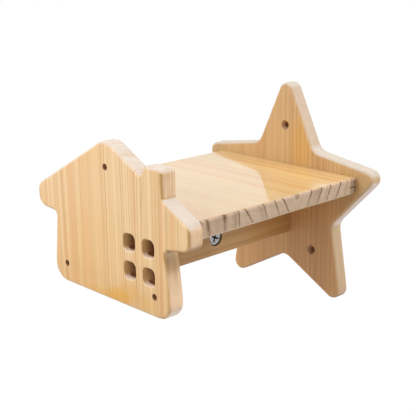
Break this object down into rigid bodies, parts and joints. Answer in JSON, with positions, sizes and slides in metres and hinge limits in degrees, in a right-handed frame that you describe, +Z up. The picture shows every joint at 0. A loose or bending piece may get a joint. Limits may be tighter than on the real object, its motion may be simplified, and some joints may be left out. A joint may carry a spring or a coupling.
{
  "type": "cat wall bridge",
  "caption": "Pine wall bridge for a cat: a flat deck on a centre rail between a house-shaped and a star-shaped end panel, held by dowels and cam locks.",
  "frame": {"origin": "centre of the star panel's flat outer face, the face that is screwed to the wall", "axes": "+X out of the star's outer face into the wall, so the bridge runs towards -X to the house panel; +Z up, square to the deck; -Y is the front, the side that the picture shows"},
  "size_m": [0.2285, 0.202, 0.1971],
  "materials": {
    "pine": "clear satin lacquer over knot-free pine",
    "beech": "bare turned dowel",
    "steel": "plain turned steel",
    "zinc": "die-cast zinc, dull bright"
  },
  "bodies": {
    "bridge": {"house_panel": "pine", "star_panel": "pine", "deck_board": "pine", "centre_rail": "pine", "deck_dowel_house_front": "beech", "deck_dowel_house_back": "beech", "deck_dowel_star_front": "beech", "deck_dowel_star_back": "beech", "rail_dowel_house_lower": "beech", "rail_dowel_house_upper": "beech", "rail_dowel_star_lower": "beech", "rail_dowel_star_upper": "beech", "rail_top_dowel_house": "beech", "rail_top_dowel_star": "beech", "cam_bolt_house_front": "steel", "cam_bolt_house_back": "steel", "cam_bolt_star_front": "steel", "cam_bolt_star_back": "steel", "cam_bolt_rail": "steel"},
    "cam_lock_house_front": {"cam_lock_house_front": "zinc"},
    "cam_lock_house_back": {"cam_lock_house_back": "zinc"},
    "cam_lock_star_front": {"cam_lock_star_front": "zinc"},
    "cam_lock_star_back": {"cam_lock_star_back": "zinc"},
    "cam_lock_rail": {"cam_lock_rail": "zinc"}
  },
  "joints": [
    {"name": "cam_lock_house_front_turn", "type": "hinge", "parent": "bridge", "child": "cam_lock_house_front", "pos_m": [-0.1781, -0.0455, 0.024], "axis": [0, 0, -1], "range_deg": [0, 180]},
    {"name": "cam_lock_house_back_turn", "type": "hinge", "parent": "bridge", "child": "cam_lock_house_back", "pos_m": [-0.1781, 0.0455, 0.024], "axis": [0, 0, -1], "range_deg": [0, 180]},
    {"name": "cam_lock_star_front_turn", "type": "hinge", "parent": "bridge", "child": "cam_lock_star_front", "pos_m": [-0.0504, -0.0455, 0.024], "axis": [0, 0, -1], "range_deg": [0, 180]},
    {"name": "cam_lock_star_back_turn", "type": "hinge", "parent": "bridge", "child": "cam_lock_star_back", "pos_m": [-0.0504, 0.0455, 0.024], "axis": [0, 0, -1], "range_deg": [0, 180]},
    {"name": "cam_lock_rail_turn", "type": "hinge", "parent": "bridge", "child": "cam_lock_rail", "pos_m": [-0.11425, 0, -0.0189], "axis": [0, -1, 0], "range_deg": [0, 180]}
  ]
}
